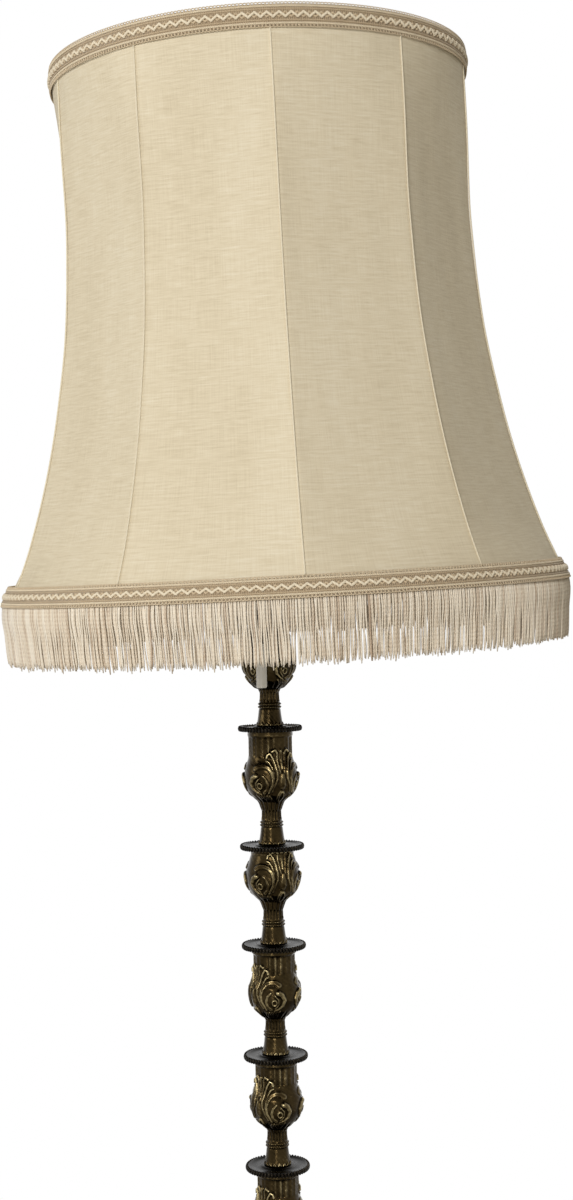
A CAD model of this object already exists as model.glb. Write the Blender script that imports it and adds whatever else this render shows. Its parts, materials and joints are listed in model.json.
import json
import math

import bpy
import numpy as np
from mathutils import Matrix, Vector


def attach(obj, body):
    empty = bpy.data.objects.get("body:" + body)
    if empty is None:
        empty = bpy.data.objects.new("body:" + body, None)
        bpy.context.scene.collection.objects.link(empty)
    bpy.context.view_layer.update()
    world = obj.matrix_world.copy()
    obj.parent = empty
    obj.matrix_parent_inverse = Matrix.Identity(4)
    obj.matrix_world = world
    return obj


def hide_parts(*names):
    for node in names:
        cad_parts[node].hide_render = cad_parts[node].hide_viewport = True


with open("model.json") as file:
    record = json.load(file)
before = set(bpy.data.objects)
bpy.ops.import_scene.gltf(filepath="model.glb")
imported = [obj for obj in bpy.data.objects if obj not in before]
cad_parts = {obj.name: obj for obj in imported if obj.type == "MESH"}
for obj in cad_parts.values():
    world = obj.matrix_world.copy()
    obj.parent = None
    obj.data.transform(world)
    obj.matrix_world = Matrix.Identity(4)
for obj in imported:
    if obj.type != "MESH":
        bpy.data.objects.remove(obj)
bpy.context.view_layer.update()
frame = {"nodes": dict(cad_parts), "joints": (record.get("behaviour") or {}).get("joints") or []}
nodes = frame["nodes"]
rng = np.random.default_rng(7)  # sway and tint of the yarns
MM = 0.001
TAU = 2 * math.pi


# ------------------------------------------------------------------ materials
class Shader:
    """One node material, built up a node at a time."""

    def __init__(self, name, **inputs):
        self.material = bpy.data.materials.new(name)
        self.material.use_nodes = True
        self.tree = self.material.node_tree
        self.main = self.tree.nodes["Principled BSDF"]
        for key, value in inputs.items():
            self.main.inputs[key.replace("_", " ")].default_value = value

    def node(self, kind, links=(), **values):
        made = self.tree.nodes.new(kind)
        for key, value in values.items():
            setattr(made, key, value)
        for socket, source in dict(links).items():
            if hasattr(source, "is_output"):
                self.tree.links.new(source, made.inputs[socket])
            else:
                made.inputs[socket].default_value = source
        return made

    def math(self, operation, first, second=0.0, third=None):
        links = {0: first, 1: second}
        if third is not None:
            links[2] = third
        return self.node("ShaderNodeMath", links, operation=operation).outputs[0]

    def place(self, scale, source="Object", shift=(0, 0, 0)):
        """Coordinates in metres, stretched by scale; source UV is metres along a piece."""
        if source == "UV":
            start = self.node("ShaderNodeUVMap").outputs[0]
        else:
            start = self.node("ShaderNodeTexCoord").outputs[source]
        links = {"Vector": start, "Scale": scale, "Location": shift}
        return self.node("ShaderNodeMapping", links).outputs[0]

    def noise(self, where, scale=1.0, detail=3.0, rough=0.55):
        links = {"Vector": where, "Scale": scale, "Detail": detail, "Roughness": rough}
        return self.node("ShaderNodeTexNoise", links).outputs[0]

    def ramp(self, value, stops):
        made = self.node("ShaderNodeValToRGB", {"Fac": value})
        items = made.color_ramp.elements
        while len(items) < len(stops):
            items.new(0.5)
        for item, (place, colour) in zip(items, stops):
            item.position = place
            item.color = (*colour, 1)
        return made.outputs[0]

    def mix(self, share, first, second):
        made = self.node("ShaderNodeMix", data_type="RGBA")
        for index, value in ((0, share), (6, first), (7, second)):
            if hasattr(value, "is_output"):
                self.tree.links.new(value, made.inputs[index])
            elif index:
                made.inputs[index].default_value = (*value, 1)
            else:
                made.inputs[index].default_value = value
        return made.outputs[2]

    def use(self, socket, value):
        self.tree.links.new(value, self.main.inputs[socket])

    def bump(self, height, strength=0.4, distance=0.001):
        links = {"Height": height, "Strength": strength, "Distance": distance}
        self.use("Normal", self.node("ShaderNodeBump", links).outputs[0])

    def attribute(self, name):
        return self.node("ShaderNodeAttribute", attribute_name=name).outputs["Fac"]


def bronze(name, dark, middle, bright, rough=(0.3, 0.5), relief=True):
    """Cast metal under dark lacquer: brown in the hollows, rubbed bright on the edges."""
    s = Shader(name, Metallic=1.0, Specular_IOR_Level=0.5)
    cloud = s.noise(s.place((55, 55, 40)), 1, 5, 0.6)
    grain = s.noise(s.place((420, 420, 420)), 1, 3, 0.6)
    if relief:
        worn = s.attribute("worn")
        share = s.math("MULTIPLY_ADD", s.math("SUBTRACT", cloud, 0.5), 0.75, worn)
    else:
        share = s.math("MULTIPLY_ADD", s.math("SUBTRACT", cloud, 0.5), 0.9, 0.42)
    share = s.math("MULTIPLY_ADD", s.math("SUBTRACT", grain, 0.5), 0.35, share)
    s.use("Base Color", s.ramp(share, [(0.12, dark), (0.5, middle), (0.92, bright)]))
    low, high = rough
    smudge = s.noise(s.place((90, 90, 90)), 1, 4)
    s.use("Roughness", s.math("MULTIPLY_ADD", smudge, high - low, low))
    s.bump(s.math("MULTIPLY_ADD", grain, 0.5, cloud), 0.25, 0.0004)
    return s.material


def metal(name, colour, rough=0.25, streak=(30, 30, 900), strength=0.1):
    """Turned or drawn bare metal with fine tool marks."""
    s = Shader(name, Metallic=1.0)
    marks = s.noise(s.place(streak), 1, 3, 0.6)
    cloud = s.noise(s.place((35, 35, 35)), 1, 4, 0.6)
    darker = tuple(c * 0.7 for c in colour)
    s.use("Base Color", s.mix(cloud, darker, colour))
    s.use("Roughness", s.math("MULTIPLY_ADD", marks, 0.16, rough - 0.08))
    s.bump(marks, strength, 0.0002)
    return s.material


def plain(name, colour, rough=0.45, speck=0.12, grain=300, **inputs):
    """Moulded plastic, ceramic or enamel with a faint mottle and skin."""
    s = Shader(name, **inputs)
    cloud = s.noise(s.place((22, 22, 22)), 1, 4, 0.55)
    fine = s.noise(s.place((grain, grain, grain)), 1, 2, 0.6)
    darker = tuple(c * (1 - speck) for c in colour)
    s.use("Base Color", s.mix(cloud, darker, colour))
    s.use("Roughness", s.math("MULTIPLY_ADD", cloud, 0.16, rough - 0.08))
    s.bump(fine, 0.08, 0.0002)
    return s.material


def woven(name, dark, middle, pale, slub=1.0):
    """Slubby cloth: long weft slubs, fine warp threads. UV is metres along and up."""
    s = Shader(name, Roughness=0.9, Sheen_Weight=0.12, Sheen_Roughness=0.5)
    s.main.inputs["Specular IOR Level"].default_value = 0.2
    slubs = s.noise(s.place((38, 620, 1), "UV"), 1, 4, 0.62)
    fine = s.noise(s.place((90, 1500, 1), "UV", (3, 7, 0)), 1, 3, 0.6)
    warp = s.noise(s.place((1300, 30, 1), "UV"), 1, 2, 0.6)
    broad = s.noise(s.place((14, 5, 1), "UV", (9, 2, 0)), 1, 3, 0.55)
    share = s.math("MULTIPLY_ADD", s.math("SUBTRACT", slubs, 0.5), 1.5 * slub, 0.5)
    share = s.math("MULTIPLY_ADD", s.math("SUBTRACT", fine, 0.5), 0.9 * slub, share)
    share = s.math("MULTIPLY_ADD", s.math("SUBTRACT", warp, 0.5), 0.5, share)
    share = s.math("MULTIPLY_ADD", s.math("SUBTRACT", broad, 0.5), 0.5, share)
    s.use("Base Color", s.ramp(share, [(0.1, dark), (0.5, middle), (0.9, pale)]))
    height = s.math("MULTIPLY_ADD", fine, 0.6, slubs)
    s.bump(s.math("MULTIPLY_ADD", warp, 0.5, height), 0.45, 0.0006)
    return s.material


def thread(name, dark, middle, pale, twist=330.0, sheen=0.25):
    """Twisted yarn: UV x counts once round the strand, y is metres along it."""
    s = Shader(name, Roughness=0.75, Sheen_Weight=sheen, Sheen_Roughness=0.45)
    s.main.inputs["Specular IOR Level"].default_value = 0.3
    split = s.node("ShaderNodeSeparateXYZ", {0: s.node("ShaderNodeUVMap").outputs[0]})
    lay = s.math("MULTIPLY_ADD", split.outputs[1], twist, s.math("MULTIPLY", split.outputs[0], 2.0))
    ply = s.math("ABSOLUTE", s.math("SINE", s.math("MULTIPLY", lay, math.pi)))
    cloud = s.noise(s.place((160, 160, 60)), 1, 3, 0.6)
    share = s.math("MULTIPLY_ADD", ply, 0.2, s.math("MULTIPLY_ADD", cloud, 0.3, 0.14))
    share = s.math("MULTIPLY_ADD", s.math("SUBTRACT", s.attribute("tint"), 0.5), 0.8, share)
    s.use("Base Color", s.ramp(share, [(0.02, dark), (0.42, middle), (0.85, pale)]))
    s.bump(ply, 0.3, 0.0003)
    return s.material


def felted(name, dark, pale):
    s = Shader(name, Roughness=0.95, Sheen_Weight=0.3, Sheen_Roughness=0.6)
    s.main.inputs["Specular IOR Level"].default_value = 0.15
    fibres = s.noise(s.place((900, 900, 900)), 1, 5, 0.75)
    cloud = s.noise(s.place((40, 40, 40)), 1, 3)
    share = s.math("MULTIPLY_ADD", cloud, 0.5, s.math("MULTIPLY", fibres, 0.5))
    s.use("Base Color", s.mix(share, dark, pale))
    s.bump(fibres, 0.8, 0.0008)
    return s.material


cast_bronze = bronze(
    "cast_bronze", (0.0048, 0.0032, 0.0015), (0.04, 0.0275, 0.0112), (0.36, 0.295, 0.155), (0.13, 0.27)
)
pan_metal = bronze(
    "pan_bronze", (0.003, 0.0026, 0.002), (0.0085, 0.007, 0.005), (0.06, 0.05, 0.036), (0.22, 0.42)
)
base_bronze = bronze(
    "base_bronze", (0.01, 0.0065, 0.0026), (0.06, 0.04, 0.015), (0.2, 0.15, 0.066), (0.24, 0.4), False
)
bright_brass = metal("bright_brass", (0.78, 0.56, 0.24), 0.2)
nickel = metal("nickel", (0.72, 0.70, 0.66), 0.22)
steel = metal("steel", (0.42, 0.42, 0.43), 0.34)
iron = plain("cast_iron", (0.05, 0.05, 0.052), 0.7, 0.3, 180)
black_plastic = plain("black_plastic", (0.014, 0.014, 0.015), 0.4)
white_plastic = plain("white_plastic", (0.86, 0.84, 0.79), 0.3, 0.04)
porcelain = plain("porcelain", (0.78, 0.76, 0.71), 0.18, 0.06)
coated_wire = plain("coated_wire", (0.66, 0.63, 0.56), 0.42, 0.12)
glass = plain(
    "frosted_glass", (0.86, 0.85, 0.81), 0.42, 0.04, 500, Transmission_Weight=0.25, IOR=1.45
)
felt = felted("felt", (0.018, 0.03, 0.02), (0.04, 0.06, 0.042))
silk = woven("cream_silk", (0.6, 0.52, 0.37), (0.73, 0.65, 0.485), (0.83, 0.77, 0.62), 0.62)
lining_cloth = woven("lining_cloth", (0.62, 0.57, 0.46), (0.74, 0.70, 0.6), (0.82, 0.79, 0.7), 0.5)
piping_cloth = thread("piping_cord", (0.66, 0.59, 0.44), (0.77, 0.7, 0.54), (0.85, 0.8, 0.66), 240)
gimp_tan = thread("gimp_tan", (0.36, 0.27, 0.165), (0.6, 0.485, 0.33), (0.76, 0.65, 0.48), 420)
gimp_pale = thread("gimp_pale", (0.5, 0.4, 0.27), (0.76, 0.66, 0.49), (0.87, 0.79, 0.63), 420)
fringe_yarn = thread(
    "fringe_thread", (0.5, 0.38, 0.27), (0.8, 0.71, 0.575), (0.88, 0.82, 0.71), 300, 0.35
)
cord_cotton = thread("cord_cotton", (0.5, 0.47, 0.4), (0.66, 0.63, 0.55), (0.8, 0.78, 0.7), 500)


def ribbed(name, dark, pale, pitch):
    """The corded ground of a gimp braid, seen as fine upright ribs."""
    s = Shader(name, Roughness=0.8, Sheen_Weight=0.2)
    split = s.node("ShaderNodeSeparateXYZ", {0: s.node("ShaderNodeUVMap").outputs[0]})
    wave = s.math("SINE", s.math("MULTIPLY", split.outputs[0], TAU / pitch))
    cloud = s.noise(s.place((120, 300, 1), "UV"), 1, 3, 0.6)
    share = s.math("MULTIPLY_ADD", wave, 0.28, s.math("MULTIPLY_ADD", cloud, 0.7, 0.12))
    s.use("Base Color", s.mix(share, dark, pale))
    s.bump(wave, 0.8, 0.0005)
    return s.material


gimp_ground = ribbed("gimp_ground", (0.3, 0.215, 0.125), (0.6, 0.475, 0.32), 0.0017)


# ------------------------------------------------------------------ mesh tools
def mesh_of(name, points, faces, material, uv=None, values=None):
    """A smooth mesh from arrays in millimetres; uv is per corner of each face, in metres."""
    mesh = bpy.data.meshes.new(name)
    faces = faces.tolist() if isinstance(faces, np.ndarray) else faces
    mesh.from_pydata((np.asarray(points) * MM).tolist(), [], faces)
    if uv is not None:
        layer = mesh.uv_layers.new(name="UVMap")
        layer.data.foreach_set("uv", np.asarray(uv, np.float32).ravel())
    for key, data in (values or {}).items():
        made = mesh.attributes.new(key, "FLOAT", "POINT")
        made.data.foreach_set("value", np.asarray(data, np.float32).ravel())
    mesh.materials.append(material)
    mesh.polygons.foreach_set("use_smooth", np.ones(len(mesh.polygons), bool))
    mesh.update()
    return mesh


def add_piece(name, data, body=None, instead_of=None):
    """An object for the data, on a body of the lamp, in place of a node of the frame."""
    piece = bpy.data.objects.new(name, data)
    bpy.context.scene.collection.objects.link(piece)
    if body:
        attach(piece, body)
    if instead_of:
        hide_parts(instead_of)
    return piece


def polar(radius, angle, z):
    """Points, or directions, from radius, angle and height."""
    return np.stack([radius * np.cos(angle), radius * np.sin(angle), z + 0 * angle], -1)


def grid(rows, cols, wrap_rows=False):
    """Quads over a lattice whose columns close, and the lattice place of each corner."""
    i = np.arange(rows if wrap_rows else rows - 1)
    i, j = np.meshgrid(i, np.arange(cols), indexing="ij")
    around = [(i, j), (i, j + 1), (i + 1, j + 1), (i + 1, j)]
    flat = np.stack([np.stack(corner, -1) for corner in around], -2).reshape(-1, 4, 2)
    return (flat[..., 0] % rows) * cols + flat[..., 1] % cols, flat


def rims(rows, cols):
    """Quads that join two like lattices, one after the other, along first and last row."""
    made = []
    count, top = rows * cols, (rows - 1) * cols
    for j in range(cols):
        k = (j + 1) % cols
        made.append([j, j + count, k + count, k])
        made.append([top + j, top + k, top + k + count, top + j + count])
    return made


def caps(rows, cols):
    """The two faces that close a turned lattice at its first and last row."""
    last = (rows - 1) * cols
    return [list(range(cols - 1, -1, -1)), [last + j for j in range(cols)]]


def repeated(faces, starts):
    """The faces of one form over again, for each place where its points start."""
    return [[start + corner for corner in face] for start in starts for face in faces]


def turned(profile, cols, rough=0.0):
    """Points and faces of a profile of radius and height, turned round the axis.

    rough is a small wave of the radius, beyond 100 mm.
    """
    profile = np.asarray(profile, float)
    a, k = np.meshgrid(TAU * np.arange(cols) / cols, np.arange(len(profile)))
    r = profile[k, 0] + rough * np.sin(a * 61 + k) * (profile[k, 0] > 100)
    points = polar(r, a, profile[k, 1]).reshape(-1, 3)
    return points, grid(len(profile), cols)[0].tolist() + caps(len(profile), cols)


def tubes(
    name, paths, outward, radius, sides, material, body, tint=None, closed=False, node=None
):
    """Round strands along paths (strand, point, xyz) in millimetres.

    outward steadies the section; node is the node of the frame that the strands replace.
    """
    paths = np.asarray(paths, float)
    count, steps, _ = paths.shape
    if closed:
        along = np.roll(paths, -1, 1) - np.roll(paths, 1, 1)
    else:
        along = np.gradient(paths, axis=1)
    along /= np.linalg.norm(along, axis=2, keepdims=True)
    across = np.cross(along, outward)
    across /= np.linalg.norm(across, axis=2, keepdims=True)
    up = np.cross(across, along)
    turn = TAU * np.arange(sides) / sides
    reach = np.broadcast_to(np.asarray(radius, float), (count, steps))[..., None, None]
    ring = np.cos(turn)[:, None] * across[:, :, None] + np.sin(turn)[:, None] * up[:, :, None]
    points = (paths[:, :, None] + ring * reach).reshape(-1, 3)
    faces, lattice = grid(steps, sides, closed)
    step = np.linalg.norm(np.diff(paths, axis=1), axis=2)
    length = np.concatenate([np.zeros((count, 1)), np.cumsum(step, 1)], 1)
    if closed:
        last = np.linalg.norm(paths[:, 0] - paths[:, -1], axis=1)
        length = np.concatenate([length, length[:, -1:] + last[:, None]], 1)
    v = length[:, lattice[..., 0]] * MM
    u = np.broadcast_to(lattice[..., 1] / sides, v.shape)
    uv = np.stack([u, v], -1).reshape(-1, 2)
    starts = np.arange(count) * steps * sides
    every = (faces[None] + starts[:, None, None]).reshape(-1, 4).tolist()
    if not closed:
        every += repeated(caps(steps, sides), starts.tolist())
        uv = np.concatenate([uv, np.zeros((count * 2 * sides, 2))])
    shade = np.full(count, 0.5) if tint is None else tint
    values = {"tint": np.repeat(shade, steps * sides)}
    mesh = mesh_of(name, points, every, material, uv, values)
    return add_piece(name, mesh, body, node)


def smooth_curve(x, y, at):
    """Monotone cubic through the points."""
    x, y = np.asarray(x, float), np.asarray(y, float)
    step = np.diff(x)
    slope = np.diff(y) / step
    tangent = np.zeros_like(y)
    tangent[1:-1] = np.where(
        slope[1:] * slope[:-1] > 0,
        2 * slope[1:] * slope[:-1] / (slope[1:] + slope[:-1] + 1e-12),
        0,
    )
    tangent[0], tangent[-1] = slope[0], slope[-1]
    k = np.clip(np.searchsorted(x, at) - 1, 0, len(x) - 2)
    t = (at - x[k]) / step[k]
    return (
        y[k] * (1 + 2 * t) * (1 - t) ** 2
        + tangent[k] * step[k] * t * (1 - t) ** 2
        + y[k + 1] * t * t * (3 - 2 * t)
        + tangent[k + 1] * step[k] * t * t * (t - 1)
    )


# ------------------------------------------------------------------ shade form
tilt = next(joint for joint in frame["joints"] if joint["name"] == "shade_tilt")
PIVOT = tilt["pos_m"][2] / MM
LEAN = -2.9  # degrees, about the axis of the tilt, as the shade hangs in the photograph
COVER_TOP, COVER_FOOT = 16.5, -441.4  # heights from the fitter
PANELS = 10
SEAM = math.radians(-90 + 3.7)  # the seam nearest the front
HALF = math.pi / PANELS  # half a panel's turn
# Down a rib: share of the height, radius, and how flat a panel is between two ribs.
STATIONS = np.array([
    (0.0, 180.5, 0.0),
    (0.045, 180.6, 0.12),
    (0.14, 181.0, 0.72),
    (0.29, 180.1, 1.0),
    (0.4, 182.2, 1.0),
    (0.506, 186.3, 1.0),
    (0.652, 197.3, 1.0),
    (0.761, 208.6, 1.0),
    (0.895, 227.4, 0.8),
    (0.965, 240.3, 0.35),
    (0.986, 244.3, 0.03),
    (1.0, 248.0, 0.0),
])
WEAVE_RADIUS = 205  # the radius at which the weave keeps its true width
LINING_TOP, LINING_FOOT = 7.0, -432.0
lean = Matrix.Rotation(math.radians(LEAN), 4, Vector(tilt["axis"]))
hang = np.array(Matrix.Translation((0, 0, PIVOT)) @ lean)


def hung(points):
    """From the shade's own upright frame, counted from the fitter, to the lamp's."""
    points = np.asarray(points, float)
    return points @ hang[:3, :3].T + hang[:3, 3]


def turned_out(vectors):
    """Directions of the shade's own frame, turned to the lamp's."""
    return np.asarray(vectors, float) @ hang[:3, :3].T


def way_down(z):
    """Share of the cover's height, from 0 at its top to 1 at its foot."""
    return np.clip((COVER_TOP - np.asarray(z, float)) / (COVER_TOP - COVER_FOOT), 0, 1)


def rib_radius(z):
    """Radius of the ribs at a height counted from the fitter."""
    return smooth_curve(STATIONS[:, 0], STATIONS[:, 1], way_down(z))


def skin_radius(angle, z):
    """Radius of the panelled skin: arcs from rib to rib, flat in the middle of the shade."""
    radius = rib_radius(z)
    flat = np.interp(way_down(z), STATIONS[:, 0], STATIONS[:, 2])
    middle = radius * (1 - flat * 0.97 * (1 - math.cos(HALF)))
    off = (np.asarray(angle) - SEAM) % (2 * HALF) - HALF
    gap = 2 * (middle - radius * math.cos(HALF))
    centre = (middle**2 - radius**2) / np.where(np.abs(gap) < 1e-6, 1e-6, gap)
    inside = (middle - centre) ** 2 - (centre * np.sin(off)) ** 2
    return centre * np.cos(off) + np.sqrt(np.maximum(inside, 0))


def cloth_shell(name, heights, inset, thickness, material, per_panel, node):
    """The panelled cloth as a closed thin skin, with a seam crease at each rib."""
    share = np.linspace(0, 1, per_panel, endpoint=False)
    share = share - 0.35 * np.sin(TAU * share) / TAU
    angles = (SEAM + 2 * HALF * (np.arange(PANELS)[:, None] + share)).ravel()
    rows, cols = len(heights), len(angles)
    a, z = np.meshgrid(angles, heights)
    outer = skin_radius(a, z) - inset
    # a slight ripple that dies out at the turned edges
    ripple = 0.22 * np.sin(a * 37 + z * 0.013) * np.sin(z * 0.021 + 2.1 * np.sin(a * 5))
    edge = np.clip(np.minimum(COVER_TOP - z, z - COVER_FOOT) / 40, 0, 1)
    outer = outer - (0.25 + ripple) * edge
    layers = []
    for reach in (outer, outer - thickness):
        layers.append(polar(reach, a, z).reshape(-1, 3))
    faces, lattice = grid(rows, cols)
    inner = faces[:, ::-1] + rows * cols
    edges = rims(rows, cols)
    along = np.concatenate([angles, [angles[0] + TAU]]) * WEAVE_RADIUS * MM
    up = np.asarray(heights) * MM
    place = np.stack([along[lattice[..., 1]], up[lattice[..., 0]]], -1)
    uv = np.concatenate([place, place[:, ::-1], np.zeros((len(edges), 4, 2))]).reshape(-1, 2)
    every = np.concatenate([faces, inner, np.array(edges)])
    mesh = mesh_of(name, hung(np.concatenate(layers)), every, material, uv)
    piece = add_piece(name, mesh, "shade", node)
    first = hung(layers[0]).reshape(rows, cols, 3)
    wide = np.roll(first, -1, 1) - first
    tall = np.diff(first, axis=0)
    area = np.linalg.norm(np.cross(wide[:-1], tall), axis=2).sum() * 1e-6
    return piece, area


cover, cover_area = cloth_shell(
    "cover_cloth", np.linspace(COVER_TOP, COVER_FOOT, 84), inset=0.0, thickness=0.7,
    material=silk, per_panel=20, node="shade_cover",
)
lining, lining_area = cloth_shell(
    "lining_cloth", np.linspace(LINING_TOP, LINING_FOOT, 60), inset=11.4, thickness=0.5,
    material=lining_cloth, per_panel=12, node="shade_lining",
)

# seam piping, one cord down each rib, half sunk in the seam
drop = np.linspace(-0.8, -426.0, 70)
reach = rib_radius(drop) + 0.4
seam_angles = SEAM + 2 * HALF * np.arange(PANELS)
paths = polar(reach[None], seam_angles[:, None], drop[None])
outward = polar(1, seam_angles, 0)[:, None]
piping = tubes(
    "seam_piping_cord", hung(paths), turned_out(outward), radius=0.7, sides=8,
    material=piping_cloth, body="shade", node="seam_piping",
)


# ------------------------------------------------------------------ gimp braids
PICOT_PITCH, STITCH_PITCH, PLAIT_PITCH = 2.9, 3.0, 9.5


def braid(name, low, high, node):
    """A gimp braid: corded ground, chain lines, plaited cord and picot edges.

    low and high are its edges as radius and height; up and out are places on its face.
    """
    (low_radius, low_z), (high_radius, high_z) = low, high
    slant = np.array([high_radius - low_radius, high_z - low_z])
    tall = np.linalg.norm(slant)
    slant = slant / tall
    normal = np.array([slant[1], -slant[0]])
    mean = (low_radius + high_radius) / 2

    def at(angle, up, out):
        r = low_radius + slant[0] * up + normal[0] * out
        z = low_z + slant[1] * up + normal[1] * out
        return hung(polar(r, angle, z))

    def facing(angle):
        return turned_out(polar(normal[0], angle, normal[1]))

    def line(label, count, wave, up, out, radius, material, samples, tint, sides):
        """A cord round the braid that repeats a wave; each wave gives shift, rise and lift."""
        steps = int(count * samples)
        t = np.arange(steps) / steps
        angle = TAU * t
        phase = TAU * count * t
        shift, rise, lift = wave(phase)
        path = at(angle + shift / mean, up + rise, out + lift)
        return tubes(
            name + "_" + label, path[None], facing(angle)[None], radius, sides,
            material, "shade", tint=np.array([tint]), closed=True,
        )

    around = TAU * mean
    ground_rows = np.linspace(1.0, tall - 1.0, 9)
    cols = 720
    angle = TAU * np.arange(cols) / cols
    a, up = np.meshgrid(angle, ground_rows)
    bulge = 0.75 * np.sqrt(np.clip(1 - ((up - tall / 2) / (tall / 2)) ** 2, 0, 1))
    front = at(a, up, 0.25 + bulge).reshape(-1, 3)
    back = at(a, up, -0.1 + 0 * up).reshape(-1, 3)
    faces, lattice = grid(len(ground_rows), cols)
    edges = rims(len(ground_rows), cols)
    place = np.stack([lattice[..., 1] * around / cols, ground_rows[lattice[..., 0]]], -1) * MM
    uv = np.concatenate([place[:, ::-1], place, np.zeros((len(edges), 4, 2))]).reshape(-1, 2)
    every = np.concatenate([faces[:, ::-1], faces + len(front), np.array(edges)])
    mesh = mesh_of(name + "_ground", np.concatenate([front, back]), every, gimp_ground, uv)
    pieces = [add_piece(name + "_ground", mesh, "shade", node)]

    loops = int(around / PICOT_PITCH)
    for label, up, sign in (("low_picots", 0.9, -1), ("high_picots", tall - 0.9, 1)):
        def picot(phase, sign=sign):
            return -0.95 * np.sin(phase), sign * (0.2 - 0.95 * np.cos(phase)), 0.15 * np.sin(phase)

        cord = dict(out=0.75, radius=0.42, material=gimp_tan, samples=10, tint=0.62, sides=5)
        pieces.append(line(label, loops, picot, up, **cord))
    stitches = int(around / STITCH_PITCH)
    for label, up in (("low_chain", 2.7), ("high_chain", tall - 2.7)):
        for half in (0, 1):
            def chain(phase, half=half):
                phase = phase + math.pi * half
                return 0 * phase, 0.5 * np.sin(phase), 0.28 * np.cos(phase)

            cord = dict(out=1.0, radius=0.5, material=gimp_pale, samples=8, tint=0.5, sides=5)
            pieces.append(line("%s_%d" % (label, half), stitches, chain, up, **cord))
    waves = int(around / PLAIT_PITCH)
    swing = tall * 0.125

    def serpentine(phase):
        return 0.9 * np.sin(2 * phase), swing * np.sin(phase), 0.35 * np.cos(2 * phase)

    def counter(phase):
        return 0.9 * np.sin(2 * phase), -swing * np.sin(phase), -0.35 * np.cos(2 * phase)

    def straight(phase):
        return 0 * phase, 0 * phase, 0.1 * np.sin(phase)

    middle = tall / 2
    cord = dict(out=1.5, radius=1.05, material=gimp_pale, samples=22, tint=0.75, sides=8)
    pieces.append(line("plait_a", waves, serpentine, middle, **cord))
    cord = dict(out=1.25, radius=0.8, material=gimp_tan, samples=22, tint=0.55, sides=6)
    pieces.append(line("plait_b", waves, counter, middle, **cord))
    cord = dict(out=0.95, radius=0.55, material=gimp_tan, samples=4, tint=0.35, sides=5)
    for label, up in (("low_cord", middle - swing - 2.0), ("high_cord", middle + swing + 2.0)):
        pieces.append(line(label, stitches, straight, up, **cord))
    return pieces


top_pieces = braid("top_gimp", (180.9, -0.5), (181.0, 18.1), "top_braid")
bottom_pieces = braid("bottom_gimp", (248.6, COVER_FOOT), (241.6, -425.2), "bottom_braid")


# ------------------------------------------------------------------ fringe
FRINGE_TOP, FRINGE_RADIUS, FRINGE_CURL = -440.6, 247.6, 3.4
SWAY_RADIUS = 245.0  # turns a sway in millimetres to an angle
YARNS, YARN_RADIUS = 880, 0.71  # in each of two layers


def fringe_layer(label, inset, length, phase, node=None):
    """Hanging yarns; each sways a little, curls in at its end and has its own length."""
    count, steps = YARNS, 11
    index = np.arange(count)
    angle = TAU * (index + phase) / count + rng.normal(0, 0.0009, count)
    own = length + rng.normal(0, 1.2, count)
    t = np.linspace(0, 1, steps)
    bunch = 0.55 * np.sin(index * TAU / 5.0 + 0.7) + rng.normal(0, 0.75, count)
    bunch = bunch + 0.6 * np.sin(index * 0.31 + phase)
    snake = rng.normal(0, 0.45, count)[:, None] * np.sin(math.pi * 2 * t)[None]
    sway = bunch[:, None] * t[None] ** 1.4 + snake
    z = FRINGE_TOP - own[:, None] * t[None]
    curve = -FRINGE_CURL * t**1.7 + 0.9 * np.sin(math.pi * np.minimum(t * 2.2, 1))
    r = FRINGE_RADIUS - inset + curve[None] + rng.normal(0, 0.5, count)[:, None] * t[None]
    spin = angle[:, None] + sway / SWAY_RADIUS
    paths = polar(r, spin, z)
    outward = polar(1, angle, 0)[:, None]
    width = YARN_RADIUS * (1 + 0.12 * np.sin(t * 9)[None] + rng.normal(0, 0.07, count)[:, None])
    width = width * np.where(t > 0.97, 0.55, 1.0)[None]
    tint = np.clip(rng.normal(0.55, 0.2, count), 0, 1)
    return tubes(
        label, hung(paths), turned_out(outward), radius=width, sides=5,
        material=fringe_yarn, body="shade", tint=tint, node=node,
    )


front_yarns = fringe_layer("fringe_front", inset=0.0, length=50.4, phase=0.0, node="fringe")
back_yarns = fringe_layer("fringe_back", inset=2.2, length=49.4, phase=0.5)


# ------------------------------------------------------------------ balusters
def stroke(across, up, points, width, height, hollow=0.0):
    """Relief of a rounded band along a line; width and height run from its start to its end."""
    points = np.asarray(points, float)
    best = np.full(across.shape, 1e9)
    share = np.zeros(across.shape)
    total = np.linalg.norm(np.diff(points, axis=0), axis=1)
    ends = np.concatenate([[0], np.cumsum(total)])
    for k in range(len(points) - 1):
        a, b = points[k], points[k + 1]
        d = b - a
        t = np.clip(((across - a[0]) * d[0] + (up - a[1]) * d[1]) / max(d @ d, 1e-9), 0, 1)
        far = np.hypot(across - a[0] - d[0] * t, up - a[1] - d[1] * t)
        closer = far < best
        best = np.where(closer, far, best)
        share = np.where(closer, (ends[k] + t * total[k]) / ends[-1], share)
    wide = width[0] + (width[1] - width[0]) * share
    tall = height[0] + (height[1] - height[0]) * share
    x = np.clip(best / wide, 0, 1)
    form = np.sqrt(1 - x**2)
    form = form * (1 - hollow * (1 - np.clip(x / 0.62, 0, 1)) ** 1.2)
    return np.where(best < wide, tall * form, 0)


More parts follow.
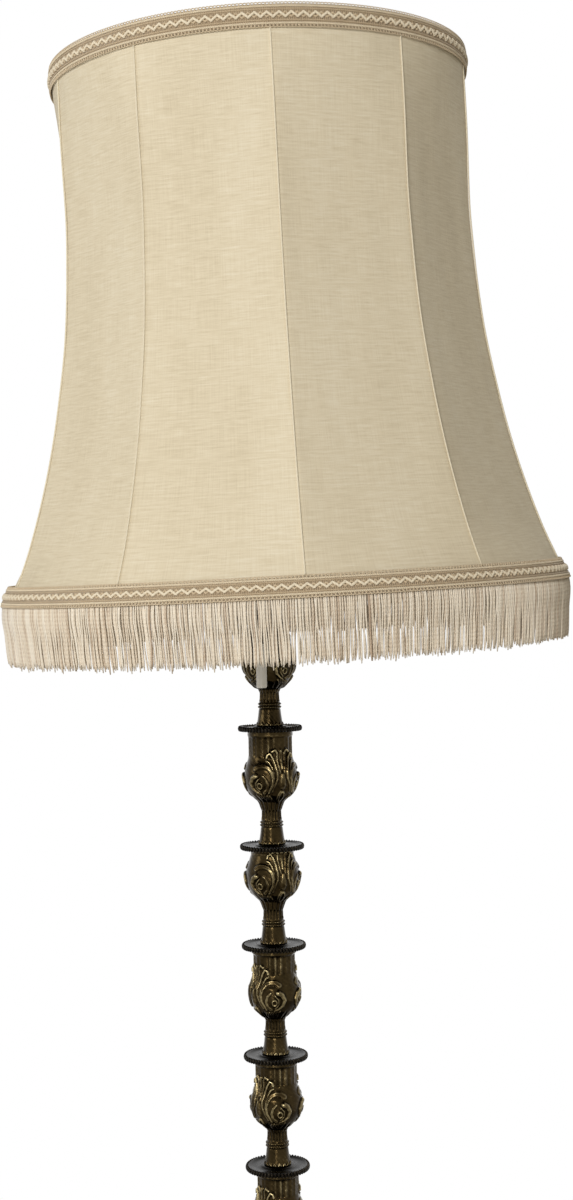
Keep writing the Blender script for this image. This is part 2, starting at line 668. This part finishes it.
# Strands of one scroll and its plumes, in millimetres from the scroll's middle: the line,
# its half width and height from start to end, and how hollow it is.
SCROLL = [
    # leaf that rolls over the top and runs down the far side
    ([(-7.4, 9.6), (-4.2, 11.6), (0.6, 11.9), (5.2, 10.4), (8.2, 6.6), (9.6, 1.0), (9.0, -4.6),
      (5.2, -11.6)], (2.5, 0.85), (1.7, 2.1), 0.25),
    # crescent on the near side, thick at its head
    ([(-6.2, 3.0), (-9.2, 1.4), (-11.6, -3.0), (-10.4, -7.8), (-6.5, -11.2), (-2.2, -12.8)],
     (2.5, 0.7), (3.2, 1.5), 0.0),
    # inner leaf and inner curl
    ([(0.4, 3.2), (3.4, 0.0), (4.8, -4.5), (4.0, -9.2), (0.8, -11.6)], (0.9, 1.7), (1.2, 1.7), 0.3),
    ([(-3.4, 0.8), (-6.2, -2.6), (-6.6, -7.0), (-3.5, -10.6)], (0.6, 0.8), (1.3, 1.3), 0.0),
    # long plume with a curled tip, and the short one inside it
    ([(3.6, 18.6), (4.4, 21.4), (7.0, 22.3), (9.7, 18.5), (11.9, 13.0), (13.3, 6.0), (13.3, 1.0),
      (11.4, -4.0), (8.6, -10.5)], (1.15, 0.9), (2.5, 1.3), 0.1),
    ([(3.4, 16.2), (6.0, 15.0), (8.6, 11.0), (10.4, 6.0), (11.0, 1.0)], (1.1, 0.5), (1.4, 1.1), 0.0),
    # two hooked plumes behind it
    ([(9.2, 24.0), (12.2, 25.6), (14.4, 22.6), (14.0, 17.0), (15.2, 11.5), (16.2, 5.4)],
     (1.3, 0.7), (2.0, 1.2), 0.1),
    ([(18.2, 24.6), (17.2, 20.6), (18.2, 14.6), (18.2, 9.4)], (1.5, 0.8), (1.5, 1.3), 0.2),
]
SCROLL_TURN = math.radians(3.1)
CASTING_FOOT = 2.02  # the foot stands on the pan, whose middle is the casting's origin
# Top, widest radius and its height, shoulder as radius and height, collar's radius and start.
CASTINGS = {
    "medium": (94.5, 22.6, 57.0, (19.8, 67.0), 18.2, 73.5),
    "tall": (101.4, 23.2, 61.0, (21.5, 72.3), 19.2, 79.0),
    "short": (84.8, 23.2, 61.0, (20.6, 74.1), 18.6, 81.8),
}


def relief(kind, angle, height):
    """How far the casting's ornament stands out, over angle and height."""
    top, widest, crown, _, _, start = CASTINGS[kind]
    d = np.zeros(angle.shape)
    # scalloped petals round the foot
    lobe = np.abs(np.sin(angle * 8))
    edge = 2.1 + 3.4 * lobe
    d += 0.6 * np.clip((edge - height) / 0.5, 0, 1)
    d -= 0.7 * np.exp(-((lobe / 0.25) ** 2)) * np.clip((4.2 - height) / 1.5, 0, 1)
    # beads on the double ring
    for middle in (18.7, 21.3):
        near = np.exp(-(((height - middle) / 0.75) ** 2))
        d += near * (0.15 + 0.25 * np.cos(angle * 30))
    for middle in (17.2, 20.0, 22.8):
        d -= 0.45 * np.exp(-(((height - middle) / 0.4) ** 2))
    # fine flutes round the neck
    span = np.clip((height - 23.0) / 1.2, 0, 1) * np.clip((32.0 - height) / 1.5, 0, 1)
    d -= 0.8 * span * (0.5 - 0.5 * np.cos(angle * 18))
    # broad lobes gathered under the bulb
    span = np.clip((height - 31.0) / 2.0, 0, 1) * np.clip((crown - 13.0 - height) / 7.0, 0, 1)
    lobes = np.abs(np.sin(angle * 8)) ** 0.6
    d += span * (1.2 * lobes - 0.8)
    # collar flutes, uneven as cast
    span = np.clip((height - start + 1.0) / 2.5, 0, 1) * np.clip((top - 4.6 - height) / 1.5, 0, 1)
    patches = 0.5 + 0.9 * np.sin(angle * 4 + 0.6) + 0.4 * np.sin(angle * 9 + 2)
    uneven = 0.2 + 0.95 * np.clip(patches, 0, 1)
    if kind != "short":
        flutes = (0.5 - 0.5 * np.cos(angle * 24 + 0.7 * np.sin(angle * 3))) ** 0.8
        d -= 1.15 * span * uneven * flutes
    # rim line under the lip
    d += 0.35 * np.exp(-(((height - (top - 3.4)) / 0.6) ** 2))

    # four scrolls, every other one mirrored
    for quarter in range(4):
        side = 1 if quarter % 2 == 0 else -1
        off = (angle - SCROLL_TURN - math.radians(90 * quarter) + math.pi) % TAU - math.pi
        across = widest * off * side
        up = height - (crown - 1)
        near = np.abs(off) < math.radians(62)
        x, y = across[near], up[near]
        add = np.zeros(x.shape)
        for line, width, tall, hollow in SCROLL:
            add = np.maximum(add, stroke(x, y, line, width, tall, hollow))
        eye = np.hypot((x + 2.7) / 2.3, (y + 5.4) / 2.9)
        rim = np.exp(-(((eye - 0.85) / 0.2) ** 2))
        add = np.maximum(add, np.where(eye < 1.25, 0.4 + 1.5 * rim, 0))
        # slanted beads under the scroll
        for place in (-7.2, -4.4, -1.6, 1.2, 4.0, 6.8):
            line = [(place - 0.9, -14.0 - 0.12 * place), (place + 0.9, -16.4 - 0.12 * place)]
            add = np.maximum(add, stroke(x, y, line, (1.0, 1.0), (1.4, 1.2)))
        # the smooth leaf between two plumes, and the lobe below it
        far = np.hypot((x - 18.0) / (3.1 - 0.16 * (y + 1)), (y + 1.0) / 8.0)
        add = np.maximum(add, np.where(far < 1, 1.7 * np.sqrt(np.clip(1 - far**2, 0, 1)), 0))
        far = np.hypot((x - 17.6) / 3.0, (y + 15.4) / 5.2)
        rim = 1.25 * np.exp(-(((far - 0.85) / 0.22) ** 2))
        add = np.maximum(add, np.where(far < 1.15, rim + 0.45, 0))
        ground = d[near]
        d[near] = np.where(add > 0, np.maximum(ground, 0) * 0.25 + 0.8 * add, ground)
    return d


def outline(kind):
    """The turned profile of one kind of casting: radius and height from the pan's middle."""
    top, widest, crown, shoulder, collar, start = CASTINGS[kind]
    rows = [
        (10.0, 2.02), (11.2, 2.04), (11.5, 2.4), (11.4, 3.4), (11.1, 5.2), (10.6, 8.0),
        (10.1, 11.5), (9.7, 15.0), (9.5, 17.1), (9.6, 17.6), (10.0, 18.7), (9.4, 19.9),
        (9.9, 21.2), (9.3, 22.4), (9.1, 23.6), (8.7, 27.0), (8.6, 31.0), (9.4, 34.0),
        (widest * 0.5, crown - 21.6), (widest * 0.64, crown - 18.6), (widest * 0.8, crown - 14.8),
        (widest * 0.92, crown - 9.6), (widest * 0.985, crown - 4.6), (widest, crown),
        (widest * 0.985, crown + (shoulder[1] - crown) * 0.45),
        (shoulder[0] + 0.25, shoulder[1] - 1.2),
    ]
    if kind == "short":
        rows += [
            (19.8, 76.8), (18.9, 79.6), (18.6, 81.6), (19.2, 82.6), (19.8, 83.4), (19.8, 84.6),
            (19.4, 84.78), (16.0, 84.78),
        ]
    else:
        rows += [
            (shoulder[0] - 0.9, shoulder[1] + 1.8), (collar + 0.3, start - 1.2), (collar, start + 1.5),
            (collar, (start + top) / 2), (collar, top - 5.8), (collar + 0.5, top - 4.6),
            (19.6, top - 3.2), (19.8, top - 2.4), (19.8, top - 0.6), (19.4, top - 0.05),
            (16.0, top - 0.02),
        ]
    return np.array(rows, float)


def casting(kind, cols=336, rows=196):
    """One ornamented casting as a mesh, its origin at the lower pan's middle."""
    points, top = outline(kind), CASTINGS[kind][0]
    length = np.linalg.norm(np.diff(points, axis=0), axis=1)
    place = np.concatenate([[0], np.cumsum(length)])
    at = np.linspace(0, place[-1], rows)
    radius = smooth_curve(place, points[:, 0], at)
    height = np.interp(at, place, points[:, 1])
    slope = np.stack([np.gradient(radius), np.gradient(height)], -1)
    slope /= np.linalg.norm(slope, axis=1, keepdims=True)
    angle = TAU * np.arange(cols) / cols
    a, z = np.meshgrid(angle, height)
    lift = relief(kind, a, z)
    lift += 0.06 * np.sin(a * 17 + z * 0.9) * np.sin(z * 0.7 + a * 5)
    edge = np.clip(np.minimum(z - CASTING_FOOT, top - 0.05 - z) / 0.8, 0, 1)
    lift *= edge
    out = np.clip(slope[:, 1], 0.35, 1)[:, None]
    rise = (-slope[:, 0] * 0.5)[:, None]
    r = radius[:, None] + lift * out
    h = np.clip(z + lift * rise, CASTING_FOOT, top - 0.02)
    # high spots are rubbed bright, hollows stay dark
    around = sum(np.roll(lift, step, 1) for step in (2, -2, 5, -5)) / 4
    above = (np.roll(lift, 3, 0) + np.roll(lift, -3, 0)) / 2
    worn = np.clip(0.4 + 0.4 * (lift - 0.5 * around - 0.5 * above) + 0.04 * lift, 0, 1)
    every = grid(rows, cols)[0].tolist() + caps(rows, cols)
    points = polar(r, a, h).reshape(-1, 3)
    return mesh_of("casting_" + kind, points, every, cast_bronze, values={"worn": worn})


def stacked(name, mesh, height, degrees, node):
    """A form of the stem at its height, turned about the axis."""
    piece = add_piece(name, mesh)
    piece.location = (0, 0, height * MM)
    piece.rotation_euler = (0, 0, math.radians(degrees))
    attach(piece, "root")
    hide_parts(node)


def pan_middle(number):
    """Height of a drip pan's middle in the frame, in millimetres to a tenth."""
    pan = nodes["drip_pan_%02d" % number]
    heights = [(pan.matrix_world @ Vector(corner)).z for corner in pan.bound_box]
    return round((min(heights) + max(heights)) / 2 / MM, 1)


PANS = [pan_middle(number) for number in range(1, 13)]
ORDER = ["medium"] * 7 + ["short", "tall", "medium", "medium"]
FACING = [-4, 88, 3, 92, -6, -2, -10, 66, 69, 132, 0]  # degrees each casting is turned
shared = {kind: casting(kind) for kind in ("medium", "short", "tall")}
for number, (height, kind, facing) in enumerate(zip(PANS, ORDER, FACING), 1):
    name, node = "casting_%02d" % number, "baluster_%02d" % number
    stacked(name, shared[kind], height, facing, node)


# ------------------------------------------------------------------ drip pans
BEADS, BEAD_REACH, BEAD_SIZE = 58, 26.8, (1.5, 1.42, 2.35)


def bead(rings=7, sides=10):
    """A round bead of radius 1 and its closed faces."""
    tip = math.pi * (np.arange(rings)[:, None] + 0.5) / rings
    turn = TAU * np.arange(sides)[None] / sides
    points = polar(np.sin(tip), turn, np.cos(tip)).reshape(-1, 3)
    ends = [face[::-1] for face in caps(rings, sides)]
    return points, grid(rings, sides)[0].tolist() + ends


def drip_pan():
    """A shallow dish with a raised hub and a row of beads round its rim."""
    profile = [
        (14.0, -2.0), (21.3, -1.95), (24.0, -1.6), (26.4, -1.62), (26.9, -1.2), (27.0, 0.4),
        (26.5, 1.45), (25.6, 1.75), (24.7, 1.3), (24.0, 0.8), (19.0, 0.62), (15.8, 0.72),
        (15.0, 1.2), (14.5, 1.9), (13.2, 1.98),
    ]
    dish, every = turned(profile, 160)
    form, faces = bead()
    middles = polar(BEAD_REACH, TAU * np.arange(BEADS) / BEADS, 0)
    beads = (form * BEAD_SIZE + middles[:, None]).reshape(-1, 3)
    every += repeated(faces, range(len(dish), len(dish) + len(beads), len(form)))
    values = {"worn": np.repeat([0.32, 0.55], [len(dish), len(beads)])}
    return mesh_of("drip_pan", np.concatenate([dish, beads]), every, pan_metal, values=values)


pan_mesh = drip_pan()
for number, height in enumerate(PANS, 1):
    name, node = "beaded_pan_%02d" % number, "drip_pan_%02d" % number
    stacked(name, pan_mesh, height, (number - 1) * 2.3, node)

# ------------------------------------------------------------------ felt foot
profile = [
    (60, 0.05), (145.6, 0.05), (146.6, 0.4), (147.0, 1.4), (146.8, 2.5), (146.0, 2.98), (60, 2.98),
]
points, every = turned(profile, 180, rough=0.12)
add_piece("felt_pad", mesh_of("felt_pad", points, every, felt), "root", "base_felt")

# ------------------------------------------------------------------ pull cord
X, Y = -6.0, -33.7  # the cord's place beside the stem
KNOT = 1091.35  # height of the knot's middle, inside the handle
line = bpy.data.curves.new("pull_line", "CURVE")
line.dimensions = "3D"
spline = line.splines.new("NURBS")
route = [1254.5, 1240.0, 1205.0, 1165.0, 1125.0, 1104.0, 1093.0]
spline.points.add(len(route) - 1)
for point, z in zip(spline.points, route):
    point.co = (X * MM, Y * MM, z * MM, 1)
spline.order_u = 3
spline.use_endpoint_u = True
line.bevel_depth = 0.9 * MM
line.bevel_resolution = 3
line.use_fill_caps = True
line.materials.append(cord_cotton)
pull_line = add_piece("pull_line", line, "pull", "pull_cord")
turns = np.linspace(0, 1, 60)
knot_angle = TAU * 2.6 * turns
knot_reach = 1.25 + 0.45 * np.sin(TAU * 1.3 * turns)
knot_path = polar(knot_reach, knot_angle, KNOT + 1.5 * np.cos(math.pi * turns)) + (X, Y, 0)
knot = tubes(
    "pull_knot", knot_path[None], polar(1, knot_angle, 0)[None], radius=0.95, sides=8,
    material=cord_cotton, body="pull",
)

# ------------------------------------------------------------------ CAD nodes
finishes = {
    "base_foot": base_bronze,
    "base_weight": iron,
    "tube_washer": steel,
    "tube_nut": bright_brass,
    "cord_grommet": black_plastic,
    "stem_tube": steel,
    "harp_saddle": bright_brass,
    "harp_wire": bright_brass,
    "harp_ferrules": bright_brass,
    "harp_seat": bright_brass,
    "harp_stud": bright_brass,
    "finial": bright_brass,
    "holder_cap": base_bronze,
    "holder_shell": base_bronze,
    "holder_insulator": porcelain,
    "holder_thread": nickel,
    "holder_contact": bright_brass,
    "bulb_cap": nickel,
    "bulb_glass": glass,
    "switch_housing": black_plastic,
    "switch_bush": bright_brass,
    "pull_rod": nickel,
    "pull_spring": steel,
    "pull_handle": white_plastic,
    "shade_top_ring": coated_wire,
    "shade_bottom_ring": coated_wire,
    "shade_ribs": coated_wire,
    "shade_spider": coated_wire,
}
for name, node in nodes.items():
    node.data.materials.clear()
    node.data.materials.append(finishes.get(name, base_bronze))

# ------------------------------------------------------------------ stage
# the camera is fitted to the photograph
camera_data = bpy.data.cameras.new("camera")
camera_data.sensor_fit = "VERTICAL"
camera_data.sensor_height = 36
camera_data.lens = 51.83
camera_data.clip_end = 50
camera = add_piece("camera", camera_data)
turn = Matrix.Rotation(math.radians(90.346), 4, "X") @ Matrix.Rotation(math.radians(-1.032), 4, "Z")
camera.matrix_world = Matrix.Translation((0.0165, -1.5154, 1.150)) @ turn
bpy.context.scene.camera = camera

floor_shader = Shader("floor_paper", Roughness=0.85)
tone = floor_shader.noise(floor_shader.place((2, 2, 2)), 1, 3)
floor_shader.use("Base Color", floor_shader.mix(tone, (0.78, 0.77, 0.75), (0.82, 0.81, 0.79)))
FLOOR_RADIUS, FLOOR_SIDES, FLOOR_DROP = 1500, 64, 0.3
ring = TAU * np.arange(FLOOR_SIDES) / FLOOR_SIDES
points = polar(FLOOR_RADIUS, ring, -FLOOR_DROP)
disc = mesh_of("floor", points, [list(range(FLOOR_SIDES))], floor_shader.material)
add_piece("floor", disc)

world = bpy.data.worlds.new("studio")
bpy.context.scene.world = world
world.use_nodes = True
tree = world.node_tree
tree.nodes.clear()
output = tree.nodes.new("ShaderNodeOutputWorld")
soft = tree.nodes.new("ShaderNodeBackground")
soft.inputs["Color"].default_value = (1.0, 0.92, 0.76, 1)
soft.inputs["Strength"].default_value = 0.25
white = tree.nodes.new("ShaderNodeBackground")
white.inputs["Color"].default_value = (1, 1, 1, 1)
white.inputs["Strength"].default_value = 1.0
# the eye, metal and glass see white; the object is lit softly
path = tree.nodes.new("ShaderNodeLightPath")
seen = path.outputs["Is Camera Ray"]
for ray in ("Is Transmission Ray", "Is Glossy Ray"):
    either = tree.nodes.new("ShaderNodeMath")
    either.operation = "MAXIMUM"
    tree.links.new(seen, either.inputs[0])
    tree.links.new(path.outputs[ray], either.inputs[1])
    seen = either.outputs[0]
blend = tree.nodes.new("ShaderNodeMixShader")
tree.links.new(seen, blend.inputs[0])
tree.links.new(soft.outputs[0], blend.inputs[1])
tree.links.new(white.outputs[0], blend.inputs[2])
tree.links.new(blend.outputs[0], output.inputs[0])


def lamp(name, place, target, size, power, colour=(1, 1, 1), tall=None):
    """A soft light, a disc or an upright strip, in metres and watts."""
    data = bpy.data.lights.new(name, "AREA")
    data.shape = "RECTANGLE" if tall else "DISK"
    data.size = size
    if tall:
        data.size_y = tall
    data.energy = power
    data.color = colour
    made = add_piece(name, data)
    made.location = place
    aim = Vector(target) - Vector(place)
    made.rotation_euler = aim.to_track_quat("-Z", "Y").to_euler()


WARM = (1.0, 0.975, 0.95)
lamp("key", (-0.75, -3.0, 2.2), (0, 0, 1.25), size=1.0, power=53, colour=WARM)
lamp("strip", (-0.45, -2.6, 0.9), (0, 0, 0.9), size=0.16, power=9, colour=WARM, tall=1.8)
lamp("side", (-2.6, -0.6, 1.6), (0, 0, 1.1), size=1.2, power=14)
lamp("back", (1.6, 2.2, 2.4), (0, 0, 1.2), size=1.4, power=12)

bpy.context.scene.view_settings.view_transform = "Standard"
